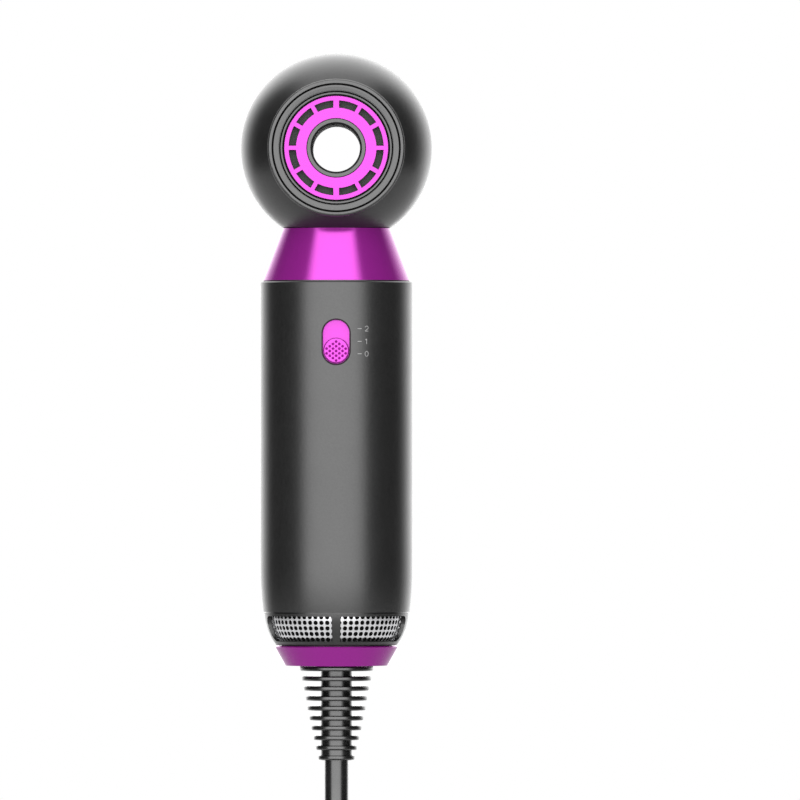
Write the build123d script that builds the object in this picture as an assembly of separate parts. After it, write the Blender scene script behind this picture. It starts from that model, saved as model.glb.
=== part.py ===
# Travel hair dryer with a hollow round head, a straight handle and a hanking mains cord.
# Millimetres. Origin at the centre of the through bore, outlet towards -Y, handle down -Z.
import math
import os

from build123d import *

os.makedirs("parts", exist_ok=True)

# head
head_r = 28.6
head_wall = 2.0
head_seam_y = 5.5
head_barrel_y = 8.5
rear_flat_r = 11.6
head_rear_y = head_barrel_y + head_r - rear_flat_r
rear_hole_r = 9.6
rear_ring_proud = 0.4
head_gap = 0.15
seam_bevel = 0.25

# outlet, from the rim inwards
lip_r = 20.55
lip_proud = 2.109
lip_front_y = -math.sqrt(head_r**2 - lip_r**2) - lip_proud
lip_slope_r = 18.2
lip_slope_depth = 0.12
lip_groove_r = 19.0
lip_groove_half = 0.3
lip_groove_depth = 1.2
seat_r = 17.25
carrier_front_y = lip_front_y + 4.5
carrier_back_y = carrier_front_y + 1.3
carrier_rim_r = 15.2
carrier_hub_r = 10.2
trim_seat_r = seat_r - 0.2
trim_outer_r = trim_seat_r - 0.37
trim_inner_r = trim_outer_r - 0.66
trim_thick = 1.8
trim_bevel = 0.1
grille_outer_r = trim_inner_r - 0.54
grille_inner_r = 8.9
grille_thick = 1.6
slot_outer_r = 14.2
slot_inner_r = 12.0
slot_count = 12
spoke_wide = 1.7
spoke_narrow = 1.25
inner_ring_r = 8.8
inner_ring_proud = trim_thick
bore_r = 7.1
inner_ring_bore_r = bore_r + 0.45
bore_tube_r = 8.3

# heater in the head
heater_back_y = head_seam_y + 0.5
heater_front_y = heater_back_y - 15.0
heater_sleeve_r = head_r - 5.4
mica_thick = 0.6
fin_count = 6
winding_wire_r = 0.6
winding_rings_r = (bore_tube_r + 5.2, heater_sleeve_r - 4.7)
winding_rows_y = (heater_front_y + 3.0, heater_front_y + 7.5, heater_front_y + 12.0)
cutout_width = 12.0
cutout_depth = 3.5
cutout_top_z = -12.0
cutout_bottom_z = -16.0
fuse_width = 5.0
fuse_depth = 2.6
fuse_z = 11.0
fuse_height = 3.0
lead_r = 0.8
lead_pitch = 4.0

# grip radius, which the neck, switch, fan and foot follow
handle_r = 22.7
handle_wall = 2.0

# neck
neck_top_z = 4.6 - head_r
neck_top_r = 16.2
neck_bottom_z = neck_top_z - 15.45
neck_bottom_r = handle_r - 0.5
neck_wall_top = 1.4
neck_wall_bottom = 1.8
duct_r = 14.6
duct_wall = 2.0
duct_top_z = neck_top_z + 0.4
duct_flange_thick = 1.6
seal_inset = 0.3

# handle
handle_top_z = neck_bottom_z - 0.35
handle_taper_z = handle_top_z - 86.2
handle_bottom_z = handle_taper_z - 12.8
handle_bottom_r = handle_r - 0.8
handle_edge = 0.3
seam_groove_half = 0.12
seam_groove_depth = 0.25
boss_x = handle_r - 9.7
boss_z = handle_bottom_z + 5.3
boss_r = 3.2
screw_shank_r = 1.3
screw_clear_r = 1.5
screw_head_r = 2.4
screw_head_seat_y = handle_r - 10.2
screw_head_thick = 1.7
screw_tip_y = 10.7 - handle_r
plug_hole_r = 2.6
screw_plug_inner_y = screw_head_seat_y + 2.0
screw_plug_inset = 0.2

# slide switch
slide_travel = 5.2
slot_width = 7.9
slot_height = slot_width + slide_travel
slot_z = handle_top_z - 18.15
bezel_wall = 0.42
bezel_proud = 0.12
thumb_r = slot_width / 2 - 0.15
thumb_rest_z = slot_z - slide_travel / 2
thumb_front_y = -handle_r - 0.2
thumb_edge = 0.4
shutter_thick = 0.8
shutter_width = slot_width + 1.36
shutter_margin = 0.2
slide_gap = 0.3
rail_width = 1.5
rail_outer_x = shutter_width / 2 + slide_gap + rail_width
rail_front_y = 0.251 - math.sqrt((handle_r - handle_wall) ** 2 - rail_outer_x**2)
shutter_front_y = rail_front_y - 0.3
guide_width = shutter_width + 4.0
guide_thick = 1.5
pad_height = 1.6
stem_width = 2.4
stem_height = 3.0
stem_depth = 5.8
stem_side_gap = 0.4
stem_end_gap = 0.5
module_width = 12.0
module_depth = 8.0
module_height = 20.0
terminal_length = 4.0

# circuit board
board_front_y = 7.5
board_thick = 1.6
board_width = 26.0
board_top_z = handle_top_z - 8.2
board_bottom_z = board_top_z - 40.0
board_rib_x = 10.0
board_rib_thick = 1.6
diode_r = 1.4
diode_length = 5.0
capacitor_r = 4.0
capacitor_length = 9.0

# fan and motor
fan_duct_r = handle_r - 4.1
fan_duct_wall = 0.8
fan_duct_top_z = board_bottom_z - 6.0
fan_duct_bottom_z = handle_taper_z - 4.0
flange_thick = 1.6
flange_tops_z = (fan_duct_top_z - 4.4, fan_duct_top_z - 20.4)
lead_notch_half = 4.2
vane_count = 7
vane_thick = 1.2
fan_tip_gap = 0.4
fan_hub_r = 6.0
fan_bottom_z = fan_duct_bottom_z + 2.0
fan_top_z = fan_bottom_z + 8.5
blade_count = 7
blade_thick = 1.0
blade_pitch = 38.0
motor_r = 12.0
motor_wall = 1.0
motor_top_z = board_bottom_z - 4.0
motor_bottom_z = motor_top_z - 25.0
end_bell_thick = 2.0
damper_thick = 0.8
magnet_thick = 1.6
magnet_arc = 140.0
armature_gap = 0.5
armature_top_z = motor_top_z - 5.0
armature_bottom_z = motor_bottom_z + 5.0
pole_count = 5
pole_slot = 2.2
pole_root_r = 4.5
commutator_r = 3.0
commutator_top_z = motor_top_z - 1.5
commutator_bottom_z = commutator_top_z - 3.0
brush_gap = 0.1
brush_length = 3.0
brush_width = 2.4
shaft_r = 1.0
shaft_clearance = 0.04
shaft_top_z = motor_top_z + 1.5
shaft_bottom_z = fan_bottom_z + 0.5
bush_r = 3.0
bush_length = 2.5
motor_lead_r = 0.7
motor_lead_x = 6.0

# inlet cage and foot
cage_top_z = handle_bottom_z - 0.4
cage_top_r = handle_r - 1.1
cage_mid_z = cage_top_z - 5.0
cage_mid_r = cage_top_r - 1.05
cage_bottom_z = cage_top_z - 9.6
cage_bottom_r = cage_top_r - 3.5
cage_wall = 1.3
cage_step_r = cage_top_r - 0.4
cage_flange_r = 12.0
cage_flange_thick = 1.0
window_top_z = cage_top_z - 0.8
window_bottom_z = cage_bottom_z + 1.2
window_rib = 2.5
window_end_deg = 77.0
window_corner = 2.6
mesh_thick = 0.4
collar_top_z = cage_bottom_z - 0.2
collar_bevel = 0.3
collar_top_r = cage_bottom_r + 0.6
collar_bottom_z = collar_top_z - 5.9
collar_bottom_r = collar_top_r - 3.2
plate_r = collar_top_r - 2.2
plate_thick = 1.8
foot_screw_x = collar_bottom_r - 3.9
foot_screw_shank_r = 1.2
foot_screw_head_r = 2.2
foot_screw_head_thick = 1.5
foot_screw_hole_r = 2.4
foot_screw_depth = 1.9

# cord, strain relief and clamp
cord_r = 3.6
relief_core_r = cord_r + 1.1
relief_shoulder_r = cord_r + 2.6
relief_shoulder_z = collar_bottom_z - 0.4
relief_flange_r = relief_shoulder_r + 2.3
relief_flange_thick = 1.4
relief_end_z = relief_shoulder_z - 28.0
rib_radii = (11.1, 10.5, 9.9, 9.3, 8.8, 8.2, 7.6, 6.9, 6.2, 5.5)
rib_first_z = relief_shoulder_z - 0.5
rib_pitch = 2.97
rib_thick = 1.35
rib_edge = 0.45
clamp_screw_x = cord_r + 2.4
clamp_width = 2 * (clamp_screw_x + 2.0)
clamp_depth = 2 * cord_r + 4.8
clamp_height = 3.2
clamp_screw_r = 0.9
clamp_screw_head_r = 1.6
clamp_screw_head_thick = 1.2
entry_proud = 1.0
supply_lead_r = 0.6
supply_lead_x = 2.5
supply_lead_y = fan_duct_r + 0.7
supply_start_x = 1.4
supply_top_z = board_bottom_z + 4.0
supply_bends = (3.0, 4.0, 3.0)

# cord hank and plug, hanging straight below the handle
hank_top_z = relief_end_z - 28.7
hank_lobe_r = 25.2
hank_lobe_offset = 36.4
hank_depth = 46.8
hank_waist_width = 37.8
hank_waist_depth = 21.6
tie_height = 10.0
tie_thick = 1.6
tail_length = 34.0
plug_collar_height = 12.0
plug_collar_top_r = cord_r + 2.0
plug_collar_bottom_r = cord_r + 5.4
plug_height = 34.0
plug_width = 36.4
plug_depth = 26.0
plug_corner = 12.0
plug_edge = 1.6
pin_r = 2.4
pin_length = 19.0
pin_pitch = 19.0


def save(name, shape):
    shape.label = name
    export_step(shape, "parts/" + name + ".step")


def rod_z(radius, low, high, x=0.0, y=0.0):
    return Pos(x, y, (low + high) / 2) * Cylinder(radius, high - low)


def rod_y(radius, low, high, x=0.0, z=0.0):
    return Pos(x, (low + high) / 2, z) * Rot(90, 0, 0) * Cylinder(radius, high - low)


def tube_z(outer, inner, low, high):
    return rod_z(outer, low, high) - rod_z(inner, low, high)


def tube_y(outer, inner, low, high):
    return rod_y(outer, low, high) - rod_y(inner, low, high)


def block(x_low, x_high, y_low, y_high, z_low, z_high):
    middle = Pos((x_low + x_high) / 2, (y_low + y_high) / 2, (z_low + z_high) / 2)
    return middle * Box(x_high - x_low, y_high - y_low, z_high - z_low)


# A turned body: the outline is points (radius, height), and a step of four numbers is an arc
# through its first pair to its second.
def turned(outline, about):
    def place(radius, height):
        return (radius, height, 0) if about == "Y" else (radius, 0, height)

    edges = []
    here = outline[0]
    for step in outline[1:] + [outline[0]]:
        if len(step) == 4:
            edges.append(ThreePointArc(place(*here), place(*step[:2]), place(*step[2:])))
            here = step[2:]
        else:
            edges.append(Line(place(*here), place(*step)))
            here = step
    return revolve(make_face(edges), Axis.Y if about == "Y" else Axis.Z, 360)


def stadium_y(width, height, z, low, high):
    flat = Plane.XZ * SlotOverall(height, width, rotation=90)
    return Pos(0, high, z) * extrude(flat, high - low)


# Point at an angle from the outline's own centre, for the arcs of the head.
def swing(centre_r, centre_y, radius, degrees):
    turn = math.radians(degrees)
    return (centre_r + radius * math.cos(turn), centre_y + radius * math.sin(turn))


def head_solid(offset):
    radius = head_r + offset
    rear_r = head_rear_y - head_barrel_y + offset
    flat_r = rear_flat_r
    outline = [(0, -radius), swing(0, 0, radius, -45) + (radius, 0), (radius, head_barrel_y)]
    outline.append(swing(flat_r, head_barrel_y, rear_r, 45) + (flat_r, head_rear_y + offset))
    outline.append((0, head_rear_y + offset))
    return turned(outline, "Y")


def neck_hole():
    return rod_z(duct_r, -head_r - 2, -head_r / 2)


def head_front_shell():
    inner_r = head_r - head_wall
    outer_y = -math.sqrt(head_r**2 - lip_r**2)
    inner_y = -math.sqrt(inner_r**2 - lip_r**2)
    outer_mid = swing(0, 0, head_r, math.degrees(math.atan2(outer_y, lip_r)) / 2)
    inner_mid = swing(0, 0, inner_r, math.degrees(math.atan2(inner_y, lip_r)) / 2)
    outline = [(lip_r, outer_y), outer_mid + (head_r, 0), (head_r, head_seam_y - seam_bevel)]
    outline += [(head_r - seam_bevel, head_seam_y), (inner_r, head_seam_y), (inner_r, 0)]
    outline.append(inner_mid + (lip_r, inner_y))
    return turned(outline, "Y") - neck_hole()


def head_rear_shell():
    inner_r = head_r - head_wall
    round_r = head_rear_y - head_barrel_y
    flat_r = rear_flat_r
    outline = [(head_r - seam_bevel, head_seam_y), (head_r, head_seam_y + seam_bevel)]
    outline.append((head_r, head_barrel_y))
    outline.append(swing(flat_r, head_barrel_y, round_r, 45) + (flat_r, head_rear_y))
    outline += [(rear_hole_r, head_rear_y), (rear_hole_r, head_rear_y - head_wall)]
    outline.append((flat_r, head_rear_y - head_wall))
    inner_mid = swing(flat_r, head_barrel_y, round_r - head_wall, 45)
    outline.append(inner_mid + (inner_r, head_barrel_y))
    outline.append((inner_r, head_seam_y))
    return turned(outline, "Y") - neck_hole()


def outlet_lip_ring():
    edge = 0.8
    arc_mid = swing(lip_r - edge, lip_front_y + edge, edge, -45)
    groove_out = lip_groove_r + lip_groove_half
    groove_in = lip_groove_r - lip_groove_half
    outline = [(lip_r, carrier_back_y), (lip_r, lip_front_y + edge)]
    outline.append(arc_mid + (lip_r - edge, lip_front_y))
    outline += [(groove_out, lip_front_y), (lip_groove_r, lip_front_y + lip_groove_depth)]
    outline += [(groove_in, lip_front_y), (lip_slope_r, lip_front_y)]
    seat_floor_y = carrier_front_y - trim_thick
    outline += [(seat_r, lip_front_y + lip_slope_depth), (seat_r, seat_floor_y)]
    outline += [(trim_seat_r, seat_floor_y), (trim_seat_r, carrier_back_y)]
    return turned(outline, "Y")


def spokes_y(width, inner, outer, low, high, turns):
    made = []
    for turn in turns:
        arm = block(-width / 2, width / 2, low, high, inner, outer)
        made.append(Rot(0, turn, 0) * arm)
    return made


def grille_carrier():
    rim = tube_y(trim_seat_r, carrier_rim_r, carrier_front_y, carrier_back_y)
    hub = tube_y(carrier_hub_r, bore_tube_r, carrier_front_y, carrier_back_y)
    inner = carrier_hub_r - 0.5
    outer = carrier_rim_r + 0.5
    arms = spokes_y(spoke_wide, inner, outer, carrier_front_y, carrier_back_y, range(0, 360, 90))
    return rim + hub + arms


def outlet_trim_ring():
    ring = tube_y(trim_outer_r, trim_inner_r, carrier_front_y - trim_thick, carrier_front_y)
    return chamfer(ring.edges().filter_by(GeomType.CIRCLE).sort_by(Axis.Y)[0:2], trim_bevel)


def outlet_grille():
    front_y = carrier_front_y - grille_thick
    ring = tube_y(grille_outer_r, grille_inner_r, front_y, carrier_front_y)
    slots = tube_y(slot_outer_r, slot_inner_r, front_y - 1, carrier_front_y + 1)
    step = 360 / slot_count
    for place in range(slot_count):
        turn = place * step
        width = spoke_wide if turn % 180 == 0 else spoke_narrow
        arm = spokes_y(width, slot_inner_r - 1, slot_outer_r + 1, front_y - 2, carrier_front_y + 2, [turn])
        slots -= arm[0]
    return ring - slots


def outlet_inner_ring():
    ring = tube_y(inner_ring_r, inner_ring_bore_r, carrier_front_y - inner_ring_proud, carrier_front_y)
    front = ring.edges().filter_by(GeomType.CIRCLE).sort_by(Axis.Y)[0:2]
    return chamfer(front, 0.15)


def bore_tube():
    return tube_y(bore_tube_r, bore_r, carrier_front_y, head_rear_y - head_wall)


def rear_bore_ring():
    ring = tube_y(rear_hole_r, bore_r, head_rear_y - head_wall, head_rear_y + rear_ring_proud)
    back = ring.edges().filter_by(GeomType.CIRCLE).sort_by(Axis.Y)[-2:]
    return chamfer(back, 0.3)


def heater_mica_sleeve():
    return tube_y(heater_sleeve_r, heater_sleeve_r - mica_thick, heater_front_y, heater_back_y)


def heater_winding():
    rings = []
    for radius in winding_rings_r:
        for y in winding_rows_y:
            rings.append(Pos(0, y, 0) * Rot(90, 0, 0) * Torus(radius, winding_wire_r))
    return rings


def heater_mica_fins(rings):
    outer = heater_sleeve_r - mica_thick
    turns = [90 + 360 / fin_count * place for place in range(fin_count)]
    made = []
    for turn in turns:
        half = mica_thick / 2
        fin = block(-half, half, heater_front_y, heater_back_y, bore_tube_r - 1, outer + 1)
        fin = Rot(0, turn + 90, 0) * fin
        fin = fin - rod_y(bore_tube_r, heater_front_y - 1, heater_back_y + 1)
        fin = fin & rod_y(outer, heater_front_y - 1, heater_back_y + 1)
        for ring in rings:
            fin = fin - ring
        made.append(fin)
    return Compound(children=made)


def thermal_cutout():
    half = cutout_width / 2
    return block(-half, half, heater_back_y, heater_back_y + cutout_depth, cutout_bottom_z, cutout_top_z)


def thermal_fuse():
    half = fuse_width / 2
    return block(-half, half, heater_back_y, heater_back_y + fuse_depth, fuse_z, fuse_z + fuse_height)


def heater_leads():
    y = board_front_y + board_thick / 2
    places = (-lead_pitch, 0, lead_pitch)
    return Compound(children=[rod_z(lead_r, board_top_z, cutout_bottom_z, x, y) for x in places])


def neck_cone():
    slope = (neck_bottom_r - neck_top_r) / (neck_top_z - neck_bottom_z)
    rise = 4.0
    top_r = neck_top_r - rise * slope
    inner_slope = slope - (neck_wall_bottom - neck_wall_top) / (neck_top_z - neck_bottom_z)
    inner_top_r = neck_top_r - neck_wall_top - rise * inner_slope
    outline = [(top_r, neck_top_z + rise), (neck_bottom_r, neck_bottom_z)]
    outline += [(neck_bottom_r - neck_wall_bottom, neck_bottom_z), (inner_top_r, neck_top_z + rise)]
    cone = turned(outline, "Z") - head_solid(head_gap)
    return cone - rod_z(duct_r, neck_bottom_z, neck_top_z + rise)


def neck_duct():
    tube = tube_z(duct_r, duct_r - duct_wall, handle_top_z, duct_top_z)
    flange_r = handle_r - handle_wall
    return tube + tube_z(flange_r, duct_r - duct_wall, handle_top_z - duct_flange_thick, handle_top_z)


def neck_seal():
    return tube_z(neck_bottom_r - seal_inset, duct_r, handle_top_z, neck_bottom_z)


def handle_solid():
    drop = handle_r - handle_bottom_r
    mid_z = (handle_taper_z + handle_bottom_z) / 2
    inner_r = handle_r - handle_wall
    outline = [(handle_r - handle_edge, handle_top_z), (handle_r, handle_top_z - handle_edge)]
    outline.append((handle_r, handle_taper_z))
    outline.append((handle_r - drop / 4, mid_z, handle_bottom_r, handle_bottom_z))
    outline.append((handle_bottom_r - handle_wall, handle_bottom_z))
    outline.append((inner_r - drop / 4, mid_z, inner_r, handle_taper_z))
    outline.append((inner_r, handle_top_z))
    return turned(outline, "Z")


def seam_grooves():
    made = []
    low = handle_bottom_z - 1
    high = handle_top_z + 1
    for side in (-1, 1):
        near = side * (handle_r - seam_groove_depth)
        far = side * (handle_r + 1)
        ends = sorted((near, far))
        made.append(block(ends[0], ends[1], -seam_groove_half, seam_groove_half, low, high))
    return made


def bosses(low, high):
    inside = rod_z(handle_r - handle_wall / 2, handle_bottom_z, handle_taper_z)
    return [rod_y(boss_r, low, high, side * boss_x, boss_z) & inside for side in (-1, 1)]


def switch_zone():
    top = slot_z + slot_height / 2
    bottom = slot_z - slot_height / 2
    low = bottom - shutter_margin - slide_travel
    high = top + shutter_margin
    return low, high


def handle_front_shell(whole):
    far = handle_r + 5
    shell = whole & block(-far, far, -far, 0, handle_bottom_z, handle_top_z)
    hole_width = slot_width + 2 * bezel_wall
    hole_height = slot_height + 2 * bezel_wall
    shell = shell - stadium_y(hole_width, hole_height, slot_z, -far, -handle_r / 2)
    low, high = switch_zone()
    pad_back_y = shutter_front_y + shutter_thick + slide_gap
    pad_low = low - slide_gap - pad_height
    pad_high = high + slide_travel + slide_gap
    half = shutter_width / 2
    for z in (pad_low, pad_high):
        shell += block(-half, half, 2.1 - handle_r, pad_back_y, z, z + pad_height)
    shell += bosses(-handle_r, 0)
    for side in (-1, 1):
        shell -= rod_y(screw_shank_r, screw_tip_y, 1, side * boss_x, boss_z)
    return shell - seam_grooves()


def handle_rear_shell(whole):
    far = handle_r + 5
    shell = whole & block(-far, far, 0, far, handle_bottom_z, handle_top_z)
    back_y = board_front_y + board_thick
    inside = rod_z(handle_r - handle_wall / 2, board_bottom_z, board_top_z)
    half = board_rib_thick / 2
    for side in (-1, 1):
        low = side * board_rib_x - half
        high = side * board_rib_x + half
        shell += block(low, high, back_y, far, board_bottom_z + 2, board_top_z - 2) & inside
    shell += bosses(0, handle_r)
    for side in (-1, 1):
        shell -= rod_y(screw_clear_r, -1, screw_head_seat_y, side * boss_x, boss_z)
        shell -= rod_y(plug_hole_r, screw_head_seat_y, far, side * boss_x, boss_z)
    return shell - seam_grooves()


def handle_screws():
    made = []
    for side in (-1, 1):
        shank = rod_y(screw_shank_r, screw_tip_y, screw_head_seat_y, side * boss_x, boss_z)
        head_high = screw_head_seat_y + screw_head_thick
        made.append(shank + rod_y(screw_head_r, screw_head_seat_y, head_high, side * boss_x, boss_z))
    return Compound(children=made)


def screw_plugs():
    face = rod_z(handle_r - screw_plug_inset - 0.2, handle_bottom_z, handle_taper_z)
    made = []
    for x in (-boss_x, boss_x):
        made.append(rod_y(plug_hole_r, screw_plug_inner_y, handle_r, x, boss_z) & face)
    return Compound(children=made)


def switch_bezel():
    back_y = shutter_front_y - slide_gap
    width = slot_width + 2 * bezel_wall
    height = slot_height + 2 * bezel_wall
    outer = stadium_y(width, height, slot_z, -handle_r - 2, back_y)
    inner = stadium_y(slot_width, slot_height, slot_z, -handle_r - 3, back_y + 1)
    skin = rod_z(handle_r + bezel_proud, slot_z - slot_height, slot_z + slot_height)
    return (outer - inner) & skin


def stem_slot(front_y, back_y):
    half = stem_width / 2 + stem_side_gap
    low = thumb_rest_z - stem_height / 2 - stem_end_gap
    high = thumb_rest_z + stem_height / 2 + slide_travel + stem_end_gap
    return block(-half, half, front_y, back_y, low, high)


def switch_guide():
    low, high = switch_zone()
    front_y = shutter_front_y + shutter_thick + slide_gap
    bottom = low - slide_gap - pad_height
    top = high + slide_travel + slide_gap + pad_height
    plate = block(-guide_width / 2, guide_width / 2, front_y, front_y + guide_thick, bottom, top)
    inner = shutter_width / 2 + slide_gap
    for side in (-1, 1):
        ends = sorted((side * inner, side * (inner + rail_width)))
        plate += block(ends[0], ends[1], rail_front_y, front_y, bottom + pad_height, top - pad_height)
    return plate - stem_slot(front_y - 1, front_y + guide_thick + 1)


def switch_module():
    front_y = shutter_front_y + shutter_thick + slide_gap + guide_thick
    half = module_width / 2
    low = slot_z - module_height / 2
    body = block(-half, half, front_y, front_y + module_depth, low, low + module_height)
    stem_end_y = shutter_front_y + shutter_thick + stem_depth
    return body - stem_slot(front_y - 1, stem_end_y + stem_end_gap)


def switch_terminals():
    front_y = shutter_front_y + shutter_thick + slide_gap + guide_thick + module_depth
    made = []
    for place in (-1, 0, 1):
        z = slot_z + place * module_height / 4
        made.append(block(-1.5, 1.5, front_y, front_y + terminal_length, z - 0.4, z + 0.4))
    return Compound(children=made)


def switch_shutter():
    low, high = switch_zone()
    half = shutter_width / 2
    return block(-half, half, shutter_front_y, shutter_front_y + shutter_thick, low, high)


def switch_thumb():
    button = rod_y(thumb_r, thumb_front_y, shutter_front_y, 0, thumb_rest_z)
    return fillet(button.edges().filter_by(GeomType.CIRCLE).sort_by(Axis.Y)[0:1], thumb_edge)


def switch_actuator():
    back_y = shutter_front_y + shutter_thick
    half = stem_width / 2
    low = thumb_rest_z - stem_height / 2
    return block(-half, half, back_y, back_y + stem_depth, low, low + stem_height)


def circuit_board():
    half = board_width / 2
    return block(-half, half, board_front_y, board_front_y + board_thick, board_bottom_z, board_top_z)


def rectifier_diodes():
    made = []
    for place in range(4):
        z = board_top_z - 6 - place * 4
        body = Pos(-6, board_front_y - diode_r, z) * Rot(0, 90, 0) * Cylinder(diode_r, diode_length)
        made.append(body)
    return Compound(children=made)


def capacitor():
    return rod_y(capacitor_r, board_front_y - capacitor_length, board_front_y, 5, board_bottom_z + 8)


def fan_duct():
    inner = fan_duct_r - fan_duct_wall
    duct = tube_z(fan_duct_r, inner, fan_duct_bottom_z, fan_duct_top_z)
    half = lead_notch_half
    notch = block(-half, half, fan_duct_r, handle_r, fan_duct_bottom_z, fan_duct_top_z)
    for top in flange_tops_z:
        duct += tube_z(handle_r - handle_wall, fan_duct_r, top - flange_thick, top) - notch
    hub_r = motor_r + damper_thick
    low = motor_bottom_z + 3
    high = fan_duct_top_z - 4
    for place in range(vane_count):
        half = vane_thick / 2
        vane = block(hub_r - 1, inner + fan_duct_wall / 2, -half, half, low, high)
        duct += Rot(0, 0, place * 360 / vane_count) * (vane - rod_z(hub_r, low - 1, high + 1))
    return duct


def motor_damper():
    return tube_z(motor_r + damper_thick, motor_r, motor_bottom_z + 3, motor_top_z - 4)


def motor_can():
    can = rod_z(motor_r, motor_bottom_z, motor_top_z)
    can -= rod_z(motor_r - motor_wall, motor_bottom_z + motor_wall, motor_top_z + 1)
    return can - rod_z(bush_r, motor_bottom_z - 1, motor_top_z)


def motor_end_bell():
    return tube_z(motor_r, bush_r, motor_top_z, motor_top_z + end_bell_thick)


def motor_magnets():
    outer = motor_r - motor_wall
    half = magnet_arc / 2
    low = motor_bottom_z + 3
    high = motor_top_z - 3
    made = []
    for turn in (0, 180):
        inner = outer - magnet_thick
        corners = [(inner, 0, low), (outer, 0, low), (outer, 0, high), (inner, 0, high)]
        flat = make_face(Polyline(*corners, close=True))
        made.append(Rot(0, 0, turn - half) * revolve(flat, Axis.Z, magnet_arc))
    return Compound(children=made)


def motor_bushes():
    inner = shaft_r + shaft_clearance
    lower = tube_z(bush_r, inner, motor_bottom_z - 1, motor_bottom_z - 1 + bush_length)
    top = motor_top_z + end_bell_thick
    return Compound(children=[lower, tube_z(bush_r, inner, top - bush_length, top)])


def motor_brushes():
    made = []
    near = commutator_r + brush_gap
    for side in (-1, 1):
        ends = sorted((side * near, side * (near + brush_length)))
        half = brush_width / 2
        made.append(block(ends[0], ends[1], -half, half, commutator_bottom_z + 0.5, motor_top_z))
    return Compound(children=made)


def motor_armature():
    radius = motor_r - motor_wall - magnet_thick - armature_gap
    core = tube_z(radius, shaft_r, armature_bottom_z, armature_top_z)
    for place in range(pole_count):
        half = pole_slot / 2
        slot = block(pole_root_r, radius + 1, -half, half, armature_bottom_z - 1, armature_top_z + 1)
        core -= Rot(0, 0, place * 360 / pole_count) * slot
    return core


def motor_commutator():
    return tube_z(commutator_r, shaft_r, commutator_bottom_z, commutator_top_z)


def motor_shaft():
    return rod_z(shaft_r, shaft_bottom_z, shaft_top_z)


def fan_impeller():
    tip_r = fan_duct_r - fan_duct_wall - fan_tip_gap
    hub = rod_z(fan_hub_r, fan_bottom_z, fan_top_z)
    space = tube_z(tip_r, fan_hub_r - 1, fan_bottom_z, fan_top_z)
    mid_z = (fan_bottom_z + fan_top_z) / 2
    reach = tip_r - fan_hub_r + 4
    for place in range(blade_count):
        spot = Pos(fan_hub_r - 1 + reach / 2, 0, mid_z) * Rot(blade_pitch, 0, 0)
        blade = spot * Box(reach, blade_thick, 20)
        hub += Rot(0, 0, place * 360 / blade_count) * (blade & space)
    return hub - rod_z(shaft_r, fan_bottom_z - 1, fan_top_z + 1)


def motor_leads():
    y = board_front_y + board_thick / 2
    low = motor_top_z + end_bell_thick
    places = (-motor_lead_x, motor_lead_x)
    return Compound(children=[rod_z(motor_lead_r, low, board_bottom_z, x, y) for x in places])


def window_tool(start_deg, end_deg):
    corners = [(cage_flange_r, 0, window_bottom_z), (cage_top_r + 3, 0, window_bottom_z)]
    corners += [(cage_top_r + 3, 0, window_top_z), (cage_flange_r, 0, window_top_z)]
    sector = revolve(make_face(Polyline(*corners, close=True)), Axis.Z, end_deg - start_deg)
    level_edges = sector.edges().filter_by(GeomType.LINE).filter_by(lambda edge: abs((edge % 0.5).Z) < 0.1)
    far_end = level_edges.filter_by(lambda edge: abs((edge @ 0.5).Y) > 0.5)
    return Rot(0, 0, start_deg) * fillet(far_end, window_corner)


def inlet_cage():
    wall = cage_wall
    outline = [(cage_step_r, cage_top_z + 0.4), (cage_step_r, cage_top_z), (cage_top_r, cage_top_z)]
    outline.append((cage_mid_r, cage_mid_z, cage_bottom_r, cage_bottom_z))
    outline.append((cage_flange_r, cage_bottom_z))
    outline.append((cage_flange_r, cage_bottom_z + cage_flange_thick))
    joint_z = cage_bottom_z + cage_flange_thick
    joint_r = inner_cage_r(joint_z)
    mid_z = (joint_z + cage_top_z) / 2
    outline.append((joint_r, joint_z))
    outline.append((inner_cage_r(mid_z), mid_z, cage_top_r - wall, cage_top_z))
    outline.append((cage_top_r - wall, cage_top_z + 0.4))
    cage = turned(outline, "Z")
    half_rib = math.degrees(math.asin(window_rib / 2 / cage_mid_r))
    for centre in (-90, 90):
        window = window_tool(centre + half_rib, centre + window_end_deg)
        cage -= window
        cage -= mirror(window, Plane.YZ)
    return cage


# Radius of the cage's inner face at a height, on the same arc as its outside.
def inner_cage_r(z):
    ax, ay = cage_top_r - cage_wall, cage_top_z
    bx, by = cage_mid_r - cage_wall, cage_mid_z
    cx, cy = cage_bottom_r - cage_wall, cage_bottom_z
    d = 2 * (ax * (by - cy) + bx * (cy - ay) + cx * (ay - by))
    ux = ((ax**2 + ay**2) * (by - cy) + (bx**2 + by**2) * (cy - ay) + (cx**2 + cy**2) * (ay - by)) / d
    uy = ((ax**2 + ay**2) * (cx - bx) + (bx**2 + by**2) * (ax - cx) + (cx**2 + cy**2) * (bx - ax)) / d
    radius = math.hypot(ax - ux, ay - uy)
    return ux + math.sqrt(radius**2 - (z - uy) ** 2)


def inlet_mesh():
    low = cage_bottom_z + cage_flange_thick
    high = cage_top_z
    mid = (low + high) / 2
    outline = [(inner_cage_r(high), high), (inner_cage_r(mid), mid, inner_cage_r(low), low)]
    outline.append((inner_cage_r(low) - mesh_thick, low))
    outline.append((inner_cage_r(mid) - mesh_thick, mid, inner_cage_r(high) - mesh_thick, high))
    return turned(outline, "Z")


def bottom_plate():
    plate = tube_z(plate_r, cord_r, cage_bottom_z - plate_thick, cage_bottom_z)
    for side in (-1, 1):
        low = cage_bottom_z - plate_thick - 1
        plate -= rod_z(foot_screw_shank_r, low, cage_bottom_z + 1, side * foot_screw_x)
        plate -= rod_z(clamp_screw_r, low, cage_bottom_z + 1, side * clamp_screw_x)
    return plate


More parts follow.
